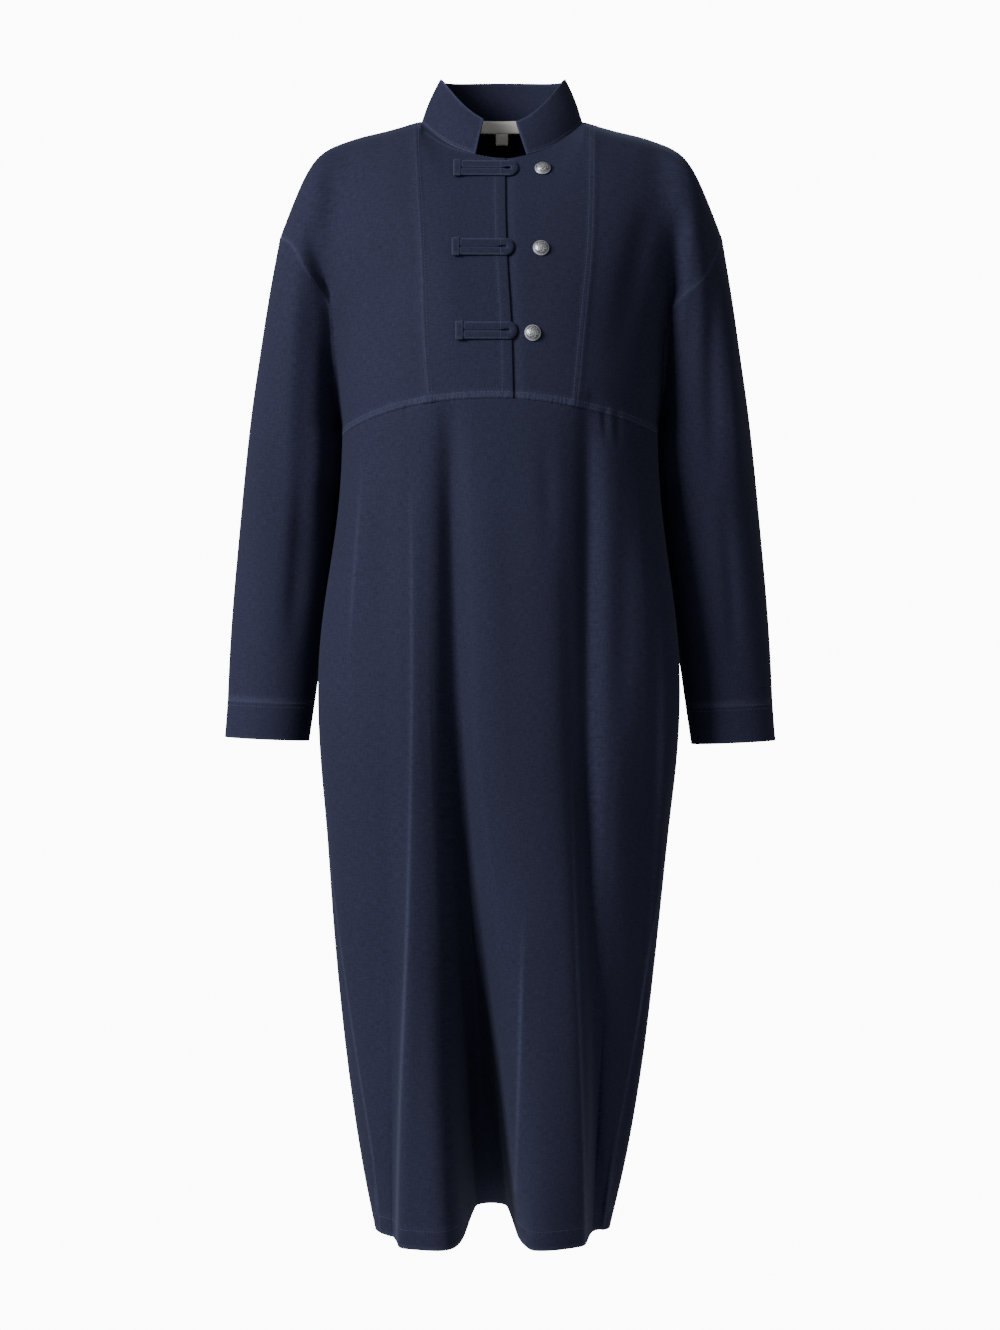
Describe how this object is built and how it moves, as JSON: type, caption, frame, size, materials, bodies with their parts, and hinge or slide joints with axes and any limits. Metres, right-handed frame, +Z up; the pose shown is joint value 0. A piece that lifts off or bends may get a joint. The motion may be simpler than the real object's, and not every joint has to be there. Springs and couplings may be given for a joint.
{
  "type": "mandarin collar dress",
  "caption": "Long-sleeved dress with a stand collar, an open slit with cloth loops and domed buttons, an under-bust seam and a folded skirt, filled out as worn.",
  "frame": {"origin": "midway between the two points where the collar meets the shoulder seams, where the wearer's neck and shoulders hold the dress", "axes": "+Z up, the front faces -Y, +X to the viewer's right"},
  "size_m": [0.5648, 0.2606, 1.1765],
  "materials": {
    "navy_twill": "washed cotton and linen twill, matt",
    "navy_strap": "folded strap of the same twill",
    "old_pewter": "antique pewter, worn bright on its raised lines",
    "cream_tape": "woven satin tape, blank"
  },
  "bodies": {
    "root": {"collar": "navy_twill", "front_centre_left": "navy_twill", "front_centre_right": "navy_twill", "front_side_left": "navy_twill", "front_side_right": "navy_twill", "skirt_front": "navy_twill", "back": "navy_twill", "sleeve_left": "navy_twill", "sleeve_right": "navy_twill", "cuff_left": "navy_twill", "cuff_right": "navy_twill", "loop_1": "navy_strap", "loop_2": "navy_strap", "loop_3": "navy_strap", "button_1": "old_pewter", "button_2": "old_pewter", "button_3": "old_pewter", "neck_label": "cream_tape", "size_tab": "cream_tape"}
  },
  "joints": []
}
